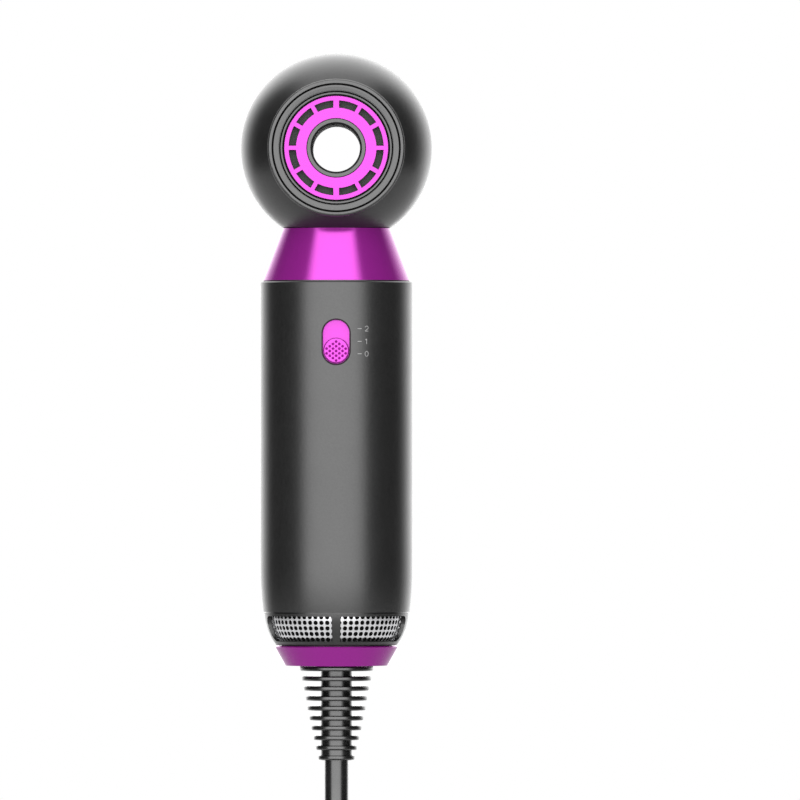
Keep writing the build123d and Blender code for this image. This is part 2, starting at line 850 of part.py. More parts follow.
def bottom_collar():
    outline = [(collar_top_r - collar_bevel, collar_top_z), (collar_top_r, collar_top_z - collar_bevel)]
    outline += [(collar_bottom_r, collar_bottom_z), (relief_shoulder_r, collar_bottom_z)]
    plate_low = cage_bottom_z - plate_thick
    shoulder_z = plate_low - relief_flange_thick
    outline += [(relief_shoulder_r, shoulder_z), (relief_flange_r, shoulder_z), (relief_flange_r, plate_low)]
    outline += [(plate_r, plate_low), (plate_r, collar_top_z)]
    collar = turned(outline, "Z")
    for side in (-1, 1):
        x = side * foot_screw_x
        collar -= rod_z(foot_screw_hole_r, collar_bottom_z - 1, collar_bottom_z + foot_screw_depth, x)
        collar -= rod_z(foot_screw_shank_r, collar_bottom_z, plate_low + 1, x)
    return collar


def bottom_screws():
    made = []
    seat = collar_bottom_z + foot_screw_depth
    for side in (-1, 1):
        x = side * foot_screw_x
        shank = rod_z(foot_screw_shank_r, seat, cage_bottom_z - 0.2, x)
        made.append(shank + rod_z(foot_screw_head_r, seat - foot_screw_head_thick, seat, x))
    return Compound(children=made)


def strain_relief():
    plate_low = cage_bottom_z - plate_thick
    body = rod_z(relief_core_r, relief_end_z, relief_shoulder_z)
    body += rod_z(relief_shoulder_r, relief_shoulder_z, plate_low - relief_flange_thick)
    body += rod_z(relief_flange_r, plate_low - relief_flange_thick, plate_low)
    for place, radius in enumerate(rib_radii):
        z = rib_first_z - place * rib_pitch
        rib = rod_z(radius, z - rib_thick / 2, z + rib_thick / 2)
        body += fillet(rib.edges().filter_by(GeomType.CIRCLE), rib_edge)
    return body - rod_z(cord_r, relief_end_z - 1, plate_low + 1)


def cord_entry():
    return rod_z(cord_r, relief_end_z, cage_bottom_z + clamp_height + entry_proud)


def cord_clamp():
    half_x = clamp_width / 2
    half_y = clamp_depth / 2
    top = cage_bottom_z + clamp_height
    bar = block(-half_x, half_x, -half_y, half_y, cage_bottom_z, top)
    bar -= rod_z(cord_r, cage_bottom_z - 1, top + 1)
    for side in (-1, 1):
        bar -= rod_z(clamp_screw_r, cage_bottom_z - 1, top + 1, side * clamp_screw_x)
    return bar


def clamp_screws():
    top = cage_bottom_z + clamp_height
    made = []
    for side in (-1, 1):
        x = side * clamp_screw_x
        shank = rod_z(clamp_screw_r, cage_bottom_z - plate_thick, top, x)
        made.append(shank + rod_z(clamp_screw_head_r, top, top + clamp_screw_head_thick, x))
    return Compound(children=made)


def supply_leads():
    start_z = cage_bottom_z + clamp_height + entry_proud
    made = []
    for side in (-1, 1):
        x = side * supply_lead_x
        route = [(side * supply_start_x, 0, start_z), (side * supply_start_x, 0, start_z + 3.6)]
        route += [(x, supply_lead_y, boss_z), (x, supply_lead_y, supply_top_z)]
        route.append((x, board_front_y + board_thick, supply_top_z))
        path = FilletPolyline(*route, radius=list(supply_bends))
        section = Plane(origin=path @ 0, z_dir=path % 0) * Circle(supply_lead_r)
        made.append(sweep(section, path=path))
    return Compound(children=made)


def hank_middle():
    return hank_top_z - hank_lobe_offset - hank_lobe_r


def hank_bottom():
    return hank_middle() - hank_lobe_offset - hank_lobe_r


def mains_cord():
    return rod_z(cord_r, hank_top_z, relief_end_z)


def cord_hank():
    middle = hank_middle()
    half = hank_depth / 2
    hank = block(
        -hank_waist_width / 2,
        hank_waist_width / 2,
        -hank_waist_depth / 2,
        hank_waist_depth / 2,
        middle - hank_lobe_offset,
        middle + hank_lobe_offset,
    )
    for side in (-1, 1):
        hank += rod_y(hank_lobe_r, -half, half, 0, middle + side * hank_lobe_offset)
    return hank


def cord_tie():
    middle = hank_middle()
    width = hank_waist_width + 2 * tie_thick
    depth = hank_waist_depth + 2 * tie_thick
    outer = RectangleRounded(width, depth, tie_thick)
    strap = extrude(outer - Rectangle(hank_waist_width, hank_waist_depth), tie_height)
    return Pos(0, 0, middle - tie_height / 2) * strap


def cord_tail():
    return rod_z(cord_r, hank_bottom() - tail_length, hank_bottom())


def plug_face_z():
    return hank_bottom() - tail_length - plug_collar_height - plug_height


def plug_body():
    top = hank_bottom() - tail_length
    outline = [(0, top), (plug_collar_top_r, top), (plug_collar_bottom_r, top - plug_collar_height)]
    outline.append((0, top - plug_collar_height))
    collar = turned(outline, "Z")
    block_body = extrude(RectangleRounded(plug_width, plug_depth, plug_corner), plug_height)
    rims = block_body.edges().filter_by(Plane.XY)
    return collar + Pos(0, 0, plug_face_z()) * fillet(rims, plug_edge)


def plug_pins():
    face = plug_face_z()
    made = []
    for side in (-1, 1):
        pin = rod_z(pin_r, face - pin_length, face, side * pin_pitch / 2)
        made.append(fillet(pin.edges().filter_by(GeomType.CIRCLE).sort_by(Axis.Z)[0:1], 0.9))
    return Compound(children=made)


save("head_front_shell", head_front_shell())
save("head_rear_shell", head_rear_shell())
save("outlet_lip_ring", outlet_lip_ring())
save("outlet_trim_ring", outlet_trim_ring())
save("outlet_grille", outlet_grille())
save("outlet_inner_ring", outlet_inner_ring())
save("grille_carrier", grille_carrier())
save("bore_tube", bore_tube())
save("rear_bore_ring", rear_bore_ring())

heater_rings = heater_winding()
save("heater_mica_sleeve", heater_mica_sleeve())
save("heater_mica_fins", heater_mica_fins(heater_rings))
save("heater_winding", Compound(children=heater_rings))
save("thermal_cutout", thermal_cutout())
save("thermal_fuse", thermal_fuse())
save("heater_leads", heater_leads())

save("neck_cone", neck_cone())
save("neck_duct", neck_duct())
save("neck_seal", neck_seal())

handle_whole = handle_solid()
save("handle_front_shell", handle_front_shell(handle_whole))
save("handle_rear_shell", handle_rear_shell(handle_whole))
save("handle_screws", handle_screws())
save("screw_plugs", screw_plugs())

save("switch_bezel", switch_bezel())
save("switch_guide", switch_guide())
save("switch_module", switch_module())
save("switch_terminals", switch_terminals())
save("switch_shutter", switch_shutter())
save("switch_thumb", switch_thumb())
save("switch_actuator", switch_actuator())

save("circuit_board", circuit_board())
save("rectifier_diodes", rectifier_diodes())
save("capacitor", capacitor())

save("fan_duct", fan_duct())
save("motor_damper", motor_damper())
save("motor_can", motor_can())
save("motor_end_bell", motor_end_bell())
save("motor_magnets", motor_magnets())
save("motor_bushes", motor_bushes())
save("motor_brushes", motor_brushes())
save("motor_armature", motor_armature())
save("motor_commutator", motor_commutator())
save("motor_shaft", motor_shaft())
save("motor_leads", motor_leads())
save("fan_impeller", fan_impeller())

save("inlet_cage", inlet_cage())
save("inlet_mesh", inlet_mesh())
save("bottom_plate", bottom_plate())
save("bottom_collar", bottom_collar())
save("bottom_screws", bottom_screws())
save("strain_relief", strain_relief())
save("cord_entry", cord_entry())
save("cord_clamp", cord_clamp())
save("clamp_screws", clamp_screws())
save("supply_leads", supply_leads())

save("mains_cord", mains_cord())
save("cord_hank", cord_hank())
save("cord_tie", cord_tie())
save("cord_tail", cord_tail())
save("plug_body", plug_body())
save("plug_pins", plug_pins())
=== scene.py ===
import math
import random

import bmesh
import bpy
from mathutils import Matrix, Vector


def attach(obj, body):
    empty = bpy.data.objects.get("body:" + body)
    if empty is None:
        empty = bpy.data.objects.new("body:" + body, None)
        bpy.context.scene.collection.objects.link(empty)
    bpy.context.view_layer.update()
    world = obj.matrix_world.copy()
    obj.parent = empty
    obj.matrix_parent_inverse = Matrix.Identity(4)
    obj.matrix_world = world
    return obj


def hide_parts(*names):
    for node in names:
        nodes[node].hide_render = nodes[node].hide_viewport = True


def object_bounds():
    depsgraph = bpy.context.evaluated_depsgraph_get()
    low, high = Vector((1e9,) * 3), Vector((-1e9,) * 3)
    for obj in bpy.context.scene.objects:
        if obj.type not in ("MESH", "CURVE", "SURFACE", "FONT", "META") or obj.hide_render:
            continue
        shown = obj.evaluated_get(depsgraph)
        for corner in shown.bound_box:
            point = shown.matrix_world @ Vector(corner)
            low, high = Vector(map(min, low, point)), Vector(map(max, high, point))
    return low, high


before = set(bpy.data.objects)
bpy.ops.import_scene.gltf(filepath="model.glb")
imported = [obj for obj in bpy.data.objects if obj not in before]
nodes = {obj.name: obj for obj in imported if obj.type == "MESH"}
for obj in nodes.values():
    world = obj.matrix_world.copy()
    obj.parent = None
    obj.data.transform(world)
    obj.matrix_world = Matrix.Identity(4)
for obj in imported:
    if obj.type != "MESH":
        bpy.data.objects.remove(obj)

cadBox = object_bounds()
mm = 0.001
print("frame loaded with", len(nodes), "nodes")


def hexToLinear(code):
    # sRGB hex to the linear colour that a shader socket wants
    parts = [int(code[i:i + 2], 16) / 255 for i in (1, 3, 5)]
    linear = [c / 12.92 if c <= 0.04045 else ((c + 0.055) / 1.055) ** 2.4 for c in parts]
    return (*linear, 1.0)


def addNode(tree, kind, settings=None, links=None):
    # a setting is either a property of the node or the value of one of its sockets
    node = tree.nodes.new(kind)
    for key, value in (settings or {}).items():
        if isinstance(key, str) and hasattr(node, key) and key not in node.inputs:
            setattr(node, key, value)
        else:
            node.inputs[key].default_value = value
    for key, source in (links or {}).items():
        tree.links.new(source, node.inputs[key])
    return node


# camera: square on to the outlet from far away, the dryer left of the middle
camera = {"distance": 4.0, "frameWidth": 0.24, "sensor": 36.0, "clipEnd": 40.0,
          "aimX": 0.01905, "aimZ": -0.0753}
cameraData = bpy.data.cameras.new("viewCamera")
cameraData.sensor_width = camera["sensor"]
cameraData.lens = camera["sensor"] * camera["distance"] / camera["frameWidth"]
cameraData.clip_end = camera["clipEnd"]
cameraObject = bpy.data.objects.new("viewCamera", cameraData)
bpy.context.collection.objects.link(cameraObject)
cameraObject.location = (camera["aimX"], -camera["distance"], camera["aimZ"])
cameraObject.rotation_euler = (math.radians(90), 0, 0)
bpy.context.scene.camera = cameraObject
print("camera placed")


# materials

def startMaterial(name, settings):
    material = bpy.data.materials.new(name)
    material.use_nodes = True
    tree = material.node_tree
    tree.nodes.clear()
    shader = addNode(tree, "ShaderNodeBsdfPrincipled", settings)
    addNode(tree, "ShaderNodeOutputMaterial", links={"Surface": shader.outputs["BSDF"]})
    return material, tree, shader


def grainBump(tree, shader, grainMm, strength, depthMm):
    # noise scale is one over the grain's width in metres; real mould and sheet grain is
    # 0.05 to 0.1 mm wide, and every one here is drawn coarser so that it shows
    place = addNode(tree, "ShaderNodeTexCoord")
    grain = addNode(tree, "ShaderNodeTexNoise",
                    {"Scale": 1 / (grainMm * mm), "Detail": 3.0, "Roughness": 0.6},
                    {"Vector": place.outputs["Object"]})
    bump = addNode(tree, "ShaderNodeBump", {"Strength": strength, "Distance": depthMm * mm},
                   {"Height": grain.outputs["Fac"]})
    tree.links.new(bump.outputs["Normal"], shader.inputs["Normal"])
    return place, grain


def speckle(tree, shader, grain, darkHex, lightHex, low=0.35, high=0.65):
    # two close tones that follow the grain
    ramp = addNode(tree, "ShaderNodeValToRGB", links={"Fac": grain.outputs["Fac"]})
    ramp.color_ramp.elements[0].position = low
    ramp.color_ramp.elements[0].color = hexToLinear(darkHex)
    ramp.color_ramp.elements[1].position = high
    ramp.color_ramp.elements[1].color = hexToLinear(lightHex)
    tree.links.new(ramp.outputs["Color"], shader.inputs["Base Color"])


def roughnessDrift(tree, shader, place, sizeMm, low, high):
    # gloss that wanders a little over patches of this size
    drift = addNode(tree, "ShaderNodeTexNoise", {"Scale": 1 / (sizeMm * mm), "Detail": 2.0},
                    {"Vector": place.outputs["Object"]})
    spread = addNode(tree, "ShaderNodeMapRange", {"To Min": low, "To Max": high},
                     {"Value": drift.outputs["Fac"]})
    tree.links.new(spread.outputs["Result"], shader.inputs["Roughness"])


def waveScale(pitchMm):
    # wave bands repeat every 1 / (3.18 scale) metres
    return 1 / (3.18 * pitchMm * mm)


def grainedFinish(name, look, settings):
    material, tree, shader = startMaterial(name, settings)
    place, grain = grainBump(tree, shader, look["grainMm"], look["bump"], look["bumpMm"])
    speckle(tree, shader, grain, look["dark"], look["light"])
    roughnessDrift(tree, shader, place, look["driftMm"], *look["roughness"])
    return material


# soft-touch lacquer on moulded ABS: near black, with a broad dull highlight
softTouch = {"dark": "#0b0b0b", "light": "#141414", "roughness": (0.30, 0.35),
             "grainMm": 0.7, "bump": 0.4, "bumpMm": 0.05, "driftMm": 9.0}
softTouchAbs = grainedFinish("soft touch lacquered ABS", softTouch, {"IOR": 1.5})

# moulded ABS without lacquer: smoother, so its flats shine brighter than the handle
satin = {"dark": "#101010", "light": "#191919", "roughness": (0.24, 0.32),
         "grainMm": 0.4, "bump": 0.06, "bumpMm": 0.03, "driftMm": 5.0}
satinAbs = grainedFinish("satin moulded ABS", satin, {"IOR": 1.53})

# matt wine-black ABS round the switch slot: hardly any gloss, a dark outline
wineBlack = {"dark": "#0a0309", "light": "#160713", "roughness": (0.55, 0.65),
             "grainMm": 0.4, "bump": 0.05, "bumpMm": 0.03, "driftMm": 4.0}
wineAbs = grainedFinish("matt wine black ABS", wineBlack,
                        {"IOR": 1.45, "Specular IOR Level": 0.15})

# anodised aluminium: the dyed oxide keeps some body colour over the metal, so metallic stays
# under one, and the fine satin under the dye blurs the studio into soft vertical bands
# the collar's colour is the same magenta painted darker: painted shade standing in for less light
# reaching it from below
anodised = {"colour": "#831F7D", "roughness": (0.15, 0.20), "collarShadeColour": "#7A1573",
            "footRoughness": (0.09, 0.13), "metallic": 0.6, "grainMm": 0.45, "bump": 0.03,
            "bumpMm": 0.02, "driftMm": 6.0}


def anodisedAluminium(name, colour, roughness):
    settings = {"Metallic": anodised["metallic"], "Base Color": hexToLinear(colour)}
    material, tree, shader = startMaterial(name, settings)
    place, _ = grainBump(tree, shader, anodised["grainMm"], anodised["bump"], anodised["bumpMm"])
    roughnessDrift(tree, shader, place, anodised["driftMm"], *roughness)
    return material


magentaAluminium = anodisedAluminium("magenta anodised aluminium", anodised["colour"],
                                     anodised["roughness"])
# the collar's copy: the same anodised aluminium, its colour darkened as painted shade
shadedCollarMagenta = anodisedAluminium("magenta anodised aluminium with painted shade", anodised["collarShadeColour"],
                                anodised["footRoughness"])

# rolled stainless sheet: bright, with sharp glints between the holes
steelSheet = {"colour": "#C4C4C6", "roughness": (0.22, 0.34), "grainMm": 0.5, "bump": 0.08,
              "bumpMm": 0.02, "driftMm": 3.0}
screenSteel, tree, shader = startMaterial(
    "rolled stainless steel sheet",
    {"Metallic": 1.0, "Base Color": hexToLinear(steelSheet["colour"])})
place, _ = grainBump(tree, shader, steelSheet["grainMm"], steelSheet["bump"], steelSheet["bumpMm"])
roughnessDrift(tree, shader, place, steelSheet["driftMm"], *steelSheet["roughness"])

# extruded flexible PVC: near black, with a tight glossy streak down each round
flexiblePvc = {"dark": "#060606", "light": "#0b0b0b", "roughness": (0.24, 0.30),
               "grainMm": 0.8, "bump": 0.05, "bumpMm": 0.04, "driftMm": 6.0}
blackPvc = grainedFinish("glossy flexible PVC", flexiblePvc,
                         {"IOR": 1.54, "Coat Weight": 0.15, "Coat Roughness": 0.12})

# moulded rubber of the plug and the seals: duller and greyer than the lead
rubber = {"dark": "#101010", "light": "#1a1a1a", "roughness": (0.38, 0.5),
          "grainMm": 0.5, "bump": 0.15, "bumpMm": 0.05, "driftMm": 5.0}
dullRubber = grainedFinish("moulded rubber", rubber, {"IOR": 1.52})

# pad printed ink on the handle: flat mid grey, no shine
ink = {"dark": "#5c5c5c", "light": "#707070", "grainMm": 0.3, "bump": 0.1, "bumpMm": 0.01}
markInk, tree, shader = startMaterial("pad printed ink", {"IOR": 1.48, "Roughness": 0.55})
place, grain = grainBump(tree, shader, ink["grainMm"], ink["bump"], ink["bumpMm"])
speckle(tree, shader, grain, ink["dark"], ink["light"])


def plainStock(name, dark, light, grainMm, roughness, metallic=0.0, specular=0.5):
    # inner pieces: a two-tone fine grain that suits each stock
    look = {"dark": dark, "light": light, "roughness": (roughness, roughness + 0.1),
            "grainMm": grainMm, "bump": 0.1, "bumpMm": 0.05, "driftMm": 4.0}
    return grainedFinish(name, look, {"Metallic": metallic, "Specular IOR Level": specular})


# moulded nylons: waxy off-white, dark grey, and a black that takes no light; that black is partly
# the nylon's colour and partly painted shade for the recess at the bore's front end
naturalNylon = plainStock("natural moulded nylon", "#cfcabc", "#e2ded2",
                          grainMm=0.7, roughness=0.45)
darkNylon = plainStock("glass filled nylon", "#1d1d1e", "#2b2b2c", grainMm=0.5, roughness=0.45)
mattBlackAndShade = plainStock("matt black flame retardant nylon", "#040404", "#080808",
                       grainMm=0.5, roughness=0.7, specular=0.2)
# pressed mica: sandy, with coarse flakes
micaBoard = plainStock("mica board", "#a8977a", "#cdbd9e", grainMm=1.2, roughness=0.5)
# bare metals: bluish plated steel, warm grey plating, yellow brass, grey-brown wire
zincSteel = plainStock("zinc plated steel", "#a9abad", "#c3c5c8",
                       grainMm=0.6, roughness=0.28, metallic=1.0)
nickelBrass = plainStock("nickel plated brass", "#8f8c84", "#a6a39a",
                         grainMm=0.6, roughness=0.3, metallic=1.0)
drawnBrass = plainStock("drawn brass", "#b08a3c", "#cda654",
                        grainMm=0.5, roughness=0.25, metallic=1.0)
nichromeWire = plainStock("drawn nichrome wire", "#77706a", "#958d84",
                          grainMm=0.4, roughness=0.35, metallic=1.0)
# sintered magnet: charcoal and dry
sinteredFerrite = plainStock("sintered ferrite", "#1c1a1a", "#2c2929", grainMm=0.8, roughness=0.6)
# laminate under solder mask: dark green, half glossy
circuitLaminate = plainStock("green circuit laminate", "#0f4a26", "#17603a",
                             grainMm=0.9, roughness=0.35)
# extruded insulation: flat signal red
wireInsulation = plainStock("red wire insulation", "#8c1712", "#a8221b", grainMm=0.6, roughness=0.4)
print("materials made")


# which finish each carried-over piece takes
finishes = {
    "head_front_shell": softTouchAbs, "head_rear_shell": softTouchAbs,
    "handle_front_shell": softTouchAbs, "handle_rear_shell": softTouchAbs,
    "screw_plugs": softTouchAbs, "inlet_cage": softTouchAbs,
    "outlet_lip_ring": satinAbs, "outlet_trim_ring": satinAbs, "outlet_inner_ring": satinAbs,
    # the bore tube's near black is partly painted shade in the recess behind the inner ring
    "rear_bore_ring": satinAbs, "bore_tube": mattBlackAndShade, "grille_carrier": mattBlackAndShade,
    "outlet_grille": magentaAluminium, "neck_cone": magentaAluminium, "bottom_collar": shadedCollarMagenta,
    "switch_shutter": magentaAluminium, "switch_thumb": magentaAluminium, "switch_bezel": wineAbs,
    "neck_duct": darkNylon, "neck_seal": dullRubber, "heater_mica_sleeve": micaBoard,
    "heater_mica_fins": micaBoard, "heater_winding": nichromeWire, "thermal_cutout": naturalNylon,
    "thermal_fuse": naturalNylon, "heater_leads": wireInsulation, "handle_screws": zincSteel,
    "switch_guide": darkNylon, "switch_module": darkNylon, "switch_terminals": drawnBrass,
    "switch_actuator": naturalNylon, "circuit_board": circuitLaminate,
    "rectifier_diodes": darkNylon, "capacitor": naturalNylon, "fan_duct": darkNylon,
    "motor_damper": dullRubber, "motor_can": zincSteel, "motor_end_bell": naturalNylon,
    "motor_magnets": sinteredFerrite, "motor_bushes": drawnBrass, "motor_brushes": drawnBrass,
    "motor_armature": zincSteel, "motor_commutator": drawnBrass, "motor_shaft": zincSteel,
    "motor_leads": wireInsulation, "fan_impeller": darkNylon, "inlet_mesh": screenSteel,
    "bottom_plate": darkNylon, "bottom_screws": zincSteel, "strain_relief": blackPvc,
    "cord_entry": blackPvc, "cord_clamp": naturalNylon, "clamp_screws": zincSteel,
    "supply_leads": wireInsulation, "mains_cord": blackPvc, "cord_hank": blackPvc,
    "cord_tie": dullRubber, "cord_tail": blackPvc, "plug_body": dullRubber,
    "plug_pins": nickelBrass,
}
for name, material in finishes.items():
    slots = nodes[name].material_slots
    if not slots:
        nodes[name].data.materials.append(material)
    for slot in slots:
        slot.material = material
print("finishes set on", len(finishes), "pieces")


weldMm = 0.002  # points nearer than this become one


def meshPiece(name, vertices, faces, material, body, smooth=True):
    mesh = bpy.data.meshes.new(name)
    mesh.from_pydata(vertices, [], faces)
    work = bmesh.new()
    work.from_mesh(mesh)
    bmesh.ops.remove_doubles(work, verts=work.verts, dist=weldMm * mm)
    bmesh.ops.recalc_face_normals(work, faces=work.faces)
    work.to_mesh(mesh)
    work.free()
    for polygon in mesh.polygons:
        polygon.use_smooth = smooth
    mesh.materials.append(material)
    piece = bpy.data.objects.new(name, mesh)
    bpy.context.collection.objects.link(piece)
    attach(piece, body)
    return piece


# mains lead: straight out of the strain relief, folded into a tied hank, then down to the plug
lead = {"diameter": 7.2, "length": 1.7, "exitZ": -183.3, "plugTopZ": -369.2, "middleZ": -273.6,
        "turns": 5, "loopR": 22.3, "lobeOffset": 36.4, "waistX": 11.7, "bendSteps": 6,
        "strandHeights": (24.0, 12.0, 0.0, -12.0, -24.0), "endShift": (0.5, 1.5),
        "splineSteps": 6, "roundSteps": 6}
leadStart = [(0, 0, lead["exitZ"]), (0, 0, -188.0), (0, 0, -193.0), (0, -0.5, -199.0),
             (-1.5, -5.0, -207.0), (-5.5, -13.0, -217.0), (-11.0, -19.5, -227.0),
             (-17.0, -22.0, -236.0)]
leadEnd = [(-17.0, 22.0, -311.2), (-11.0, 19.5, -320.2), (-5.5, 13.0, -330.2),
           (-1.5, 5.0, -340.2), (0, 0.5, -348.2), (0, 0, -355.0), (0, 0, -362.0),
           (0, 0, lead["plugTopZ"])]


def strandPlace(side, number, z):
    # a strand's x and y: side by side at the loops, drawn together in pairs at the waist
    nearWaist = (lead["lobeOffset"] - abs(z)) / lead["lobeOffset"]
    pull = 0.5 - 0.5 * math.cos(math.pi * min(1.0, max(0.0, nearWaist)))
    turn = pull * math.pi / 2
    half = lead["diameter"] / 2
    x = lead["loopR"] - (lead["loopR"] - lead["waistX"]) * pull
    if side < 0:
        row = number // 2 - 1
        y = row * 2 * half * (1 + math.cos(turn))
        outward = -1 if number in (0, 2, 5) else 1
        lean = -1 if number in (0, 2, 4) else 1
        return side * (x - outward * half * math.sin(turn)), y + lean * half * math.cos(turn)
    if number == 2:
        return x, 0.0
    row = -1 if number < 2 else 1
    y = row * (2 * half + half * math.cos(turn))
    outward = -1 if number in (0, 4) else 1
    lean = -1 if number in (0, 3) else 1
    return x - outward * half * math.sin(turn), y + lean * half * math.cos(turn)


def loopBend(route, fromDegrees, centreZ, yBefore, yAfter):
    # half a circle from one side to the other, moving on to the next strand
    for step in range(lead["bendSteps"] + 1):
        share = step / lead["bendSteps"]
        turn = math.radians(fromDegrees + 180 * share)
        route.append((lead["loopR"] * math.cos(turn), yBefore + (yAfter - yBefore) * share,
                      centreZ + lead["loopR"] * math.sin(turn)))


def leadRoute():
    heights, top, middle = lead["strandHeights"], lead["lobeOffset"], lead["middleZ"]
    shiftX, shiftY = lead["endShift"]
    route = list(leadStart)
    for number in range(lead["turns"] + 1):
        leftY = strandPlace(-1, number, top)[1]
        for z in heights:
            x, y = strandPlace(-1, number, z)
            if number == 0 and z == heights[0]:
                x, y = x - shiftX, y - shiftY
            if number == lead["turns"] and z == heights[-1]:
                x, y = x - shiftX, y + shiftY
            route.append((x, y, middle + z))
        if number == lead["turns"]:
            break
        rightY = strandPlace(1, number, top)[1]
        nextY = strandPlace(-1, number + 1, top)[1]
        loopBend(route, 180, middle - top, leftY, rightY)
        for z in reversed(heights):
            x, y = strandPlace(1, number, z)
            route.append((x, y, middle + z))
        loopBend(route, 0, middle + top, rightY, nextY)
    return route + leadEnd


def leadPiece():
    curve = bpy.data.curves.new("mainsLead", "CURVE")
    curve.dimensions = "3D"
    route = leadRoute()
    spline = curve.splines.new("NURBS")
    spline.points.add(len(route) - 1)
    for point, (x, y, z) in zip(spline.points, route):
        point.co = (x * mm, y * mm, z * mm, 1.0)
    spline.order_u = 3
    spline.use_endpoint_u = True
    spline.resolution_u = lead["splineSteps"]
    curve.bevel_depth = lead["diameter"] / 2 * mm
    curve.bevel_resolution = lead["roundSteps"]
    curve.use_fill_caps = True
    curve.materials.append(blackPvc)
    piece = bpy.data.objects.new("mainsLead", curve)
    bpy.context.collection.objects.link(piece)
    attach(piece, "housing")
    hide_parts("mains_cord", "cord_hank", "cord_tail")
    return piece


mainsLead = leadPiece()

# strap round the hank's waist: a closed band with its loose end, the tab, laid over
strap = {"width": 38.6, "depth": 22.6, "height": 10.0, "thick": 1.3, "corner": 6.0, "steps": 96,
         "tabSteps": (60, 86), "tabInset": 0.3, "edgeSoft": 0.25, "ribPitch": 0.566,
         "ribBump": 0.5, "ribMm": 0.2, "dark": "#1a1a1c", "light": "#2c2c2f"}


def strapOutline(grow):
    # an oblong with round corners, walked in equal turns
    points = []
    halfX = strap["width"] / 2 - strap["corner"]
    halfY = strap["depth"] / 2 - strap["corner"]
    radius = strap["corner"] + grow
    for step in range(strap["steps"]):
        turn = 2 * math.pi * step / strap["steps"]
        x = math.copysign(halfX, math.cos(turn)) + radius * math.cos(turn)
        y = math.copysign(halfY, math.sin(turn)) + radius * math.sin(turn)
        points.append((x, y))
    return points


def hankStrap():
    vertices, faces = [], []
    base, steps = lead["middleZ"], strap["steps"]
    thick, soft = strap["thick"], strap["edgeSoft"]
    layers = [(0.0, thick, 0, steps, strap["height"]),
              (thick, 2 * thick, *strap["tabSteps"], strap["height"] - 2 * strap["tabInset"])]
    for inner, outer, first, last, height in layers:
        near, far = strapOutline(inner), strapOutline(outer)
        h = height / 2
        rings = []
        for step in range(first, last + 1):
            a, b = near[step % steps], far[step % steps]
            worn = ((a[0] + b[0] * 3) / 4, (a[1] + b[1] * 3) / 4)
            corners = [(a, -h), (worn, -h), (b, -h + soft), (b, h - soft), (worn, h), (a, h)]
            start = len(vertices)
            vertices += [(p[0] * mm, p[1] * mm, (base + z) * mm) for p, z in corners]
            rings.append(range(start, start + len(corners)))
        for ring, after in zip(rings, rings[1:]):
            for i in range(len(ring)):
                j = (i + 1) % len(ring)
                faces.append((ring[i], ring[j], after[j], after[i]))
        if last - first < steps:
            faces += [tuple(rings[0]), tuple(rings[-1])]
    piece = meshPiece("hankStrap", vertices, faces, strapWeave, "housing", False)
    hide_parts("cord_tie")
    return piece


# woven nylon: fine ribs across the band and a dull fuzz
strapWeave, tree, shader = startMaterial("woven nylon strap",
                                         {"Roughness": 0.75, "Sheen Weight": 0.3})
place = addNode(tree, "ShaderNodeTexCoord")
weave = addNode(tree, "ShaderNodeTexWave",
                {"wave_type": "BANDS", "bands_direction": "Z", "Distortion": 1.0,
                 "Scale": waveScale(strap["ribPitch"])},
                {"Vector": place.outputs["Object"]})
bump = addNode(tree, "ShaderNodeBump",
               {"Strength": strap["ribBump"], "Distance": strap["ribMm"] * mm},
               {"Height": weave.outputs["Fac"]})
tree.links.new(bump.outputs["Normal"], shader.inputs["Normal"])
speckle(tree, shader, weave, strap["dark"], strap["light"], low=0.0, high=1.0)
strapPiece = hankStrap()

print("mains lead and strap made")


# inlet screen: punched sheet bent to the cage's inner face, holes in a square pitch
screen = {"rows": 5, "columns": 70, "holeR": 0.68, "thick": 0.2, "topZ": -139.3, "bottomZ": -147.7,
          "cageFace": ((-139.2, 20.3), (-144.2, 19.25), (-148.8, 16.8)), "clear": 0.08}


def screenRadius(z):
    # the cage's inner face at three heights, joined by a parabola
    total = 0.0
    for i, (zi, ri) in enumerate(screen["cageFace"]):
        term = ri
        for j, (zj, _) in enumerate(screen["cageFace"]):
            if i != j:
                term *= (z - zj) / (zi - zj)
        total += term
    return total - screen["clear"]


def punchedScreen():
    # each hole is a ring of twelve points joined to the twelve of its own square
    vertices, faces = [], []
    turnStep = 2 * math.pi / screen["columns"]
    rowStep = (screen["topZ"] - screen["bottomZ"]) / screen["rows"]
    third = 1 / 3
    square = [(-1, -1), (-third, -1), (third, -1), (1, -1), (1, -third), (1, third),
              (1, 1), (third, 1), (-third, 1), (-1, 1), (-1, third), (-1, -third)]
    bends = [math.atan2(v, u) for u, v in square]
    hole = [(screen["holeR"] * math.cos(bend), screen["holeR"] * math.sin(bend)) for bend in bends]
    count = len(square)
    for row in range(screen["rows"]):
        rowZ = screen["bottomZ"] + (row + 0.5) * rowStep
        for column in range(screen["columns"]):
            centre = column * turnStep
            start = len(vertices)
            for u, v in square:
                z = rowZ + v * rowStep / 2
                r = screenRadius(z)
                a = centre + u * turnStep / 2
                vertices.append((r * math.cos(a) * mm, r * math.sin(a) * mm, z * mm))
            for u, v in hole:
                z = rowZ + v
                r = screenRadius(z)
                a = centre + u / r
                vertices.append((r * math.cos(a) * mm, r * math.sin(a) * mm, z * mm))
            for i in range(count):
                j = (i + 1) % count
                faces.append((start + i, start + j, start + count + j, start + count + i))
    piece = meshPiece("inletScreen", vertices, faces, screenSteel, "housing", False)
    sheet = piece.modifiers.new("sheet", "SOLIDIFY")
    sheet.thickness = screen["thick"] * mm
    sheet.offset = -1
    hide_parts("inlet_mesh")
    return piece


punchedScreen()
